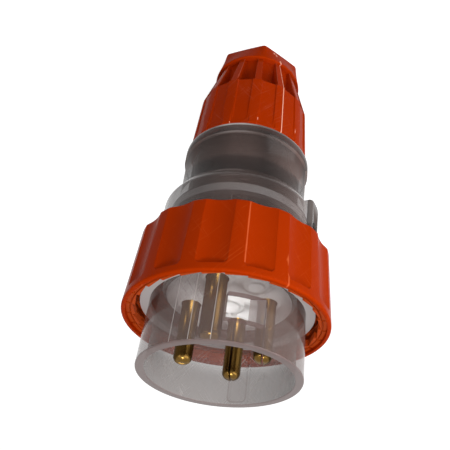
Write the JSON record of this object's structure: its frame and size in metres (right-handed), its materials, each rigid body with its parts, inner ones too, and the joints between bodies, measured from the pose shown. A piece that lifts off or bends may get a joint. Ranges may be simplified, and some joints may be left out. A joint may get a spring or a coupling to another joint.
{
  "type": "industrial plug",
  "caption": "Straight weatherproof power plug with round pins in a clear keyed shroud, a turning orange locking ring, and a screw-on cable gland.",
  "frame": {"origin": "centre of the gland nut's end face, which the plug stands on", "axes": "+Z runs along the plug to its mouth; -Y points to the earth pin and +Y to the outside key"},
  "size_m": [0.0802, 0.08, 0.162],
  "materials": {
    "clear_housing": "clear smoky moulding, finely scratched",
    "white_moulding": "smooth satin moulding",
    "dark_moulding": "plain matte moulding",
    "orange_ring": "satin moulding with light scuffs",
    "orange_nut": "glossy moulding with worn ribs",
    "brass": "turned and slightly dull",
    "steel": "plated",
    "rubber": "matte",
    "slip_plastic": "plain"
  },
  "bodies": {
    "plug": {"front_shroud": "clear_housing", "rear_body": "clear_housing", "face_gasket": "white_moulding", "body_seal": "white_moulding", "pin_carrier": "white_moulding", "terminal_block": "dark_moulding", "clamp_saddle": "dark_moulding", "clamp_bar": "dark_moulding", "earth_pin": "brass", "pin_l1": "brass", "pin_l2": "brass", "pin_l3": "brass", "terminal_screws": "steel", "carrier_screws": "steel", "clamp_screws": "steel", "lock_screw": "steel", "gland_grommet": "rubber", "nut_seal": "rubber"},
    "ring": {"locking_ring": "orange_ring"},
    "gland_travel": {"slip_washer": "slip_plastic"},
    "gland_nut": {"gland_nut": "orange_nut"}
  },
  "joints": [
    {"name": "ring_turn", "type": "hinge", "parent": "plug", "child": "ring", "pos_m": [0, 0, 0.125], "axis": [0, 0, 1], "continuous": true},
    {"name": "gland_travel", "type": "slide", "parent": "plug", "child": "gland_travel", "axis": [0, 0, -1], "range_m": [0, 0.003]},
    {"name": "gland_turn", "type": "hinge", "parent": "gland_travel", "child": "gland_nut", "pos_m": [0, 0, 0.03], "axis": [0, 0, -1], "range_deg": [0, 720]}
  ],
  "couplings": [
    {"joint": "gland_travel", "follows": "gland_turn", "m_per_rad": 0.00023873}
  ]
}
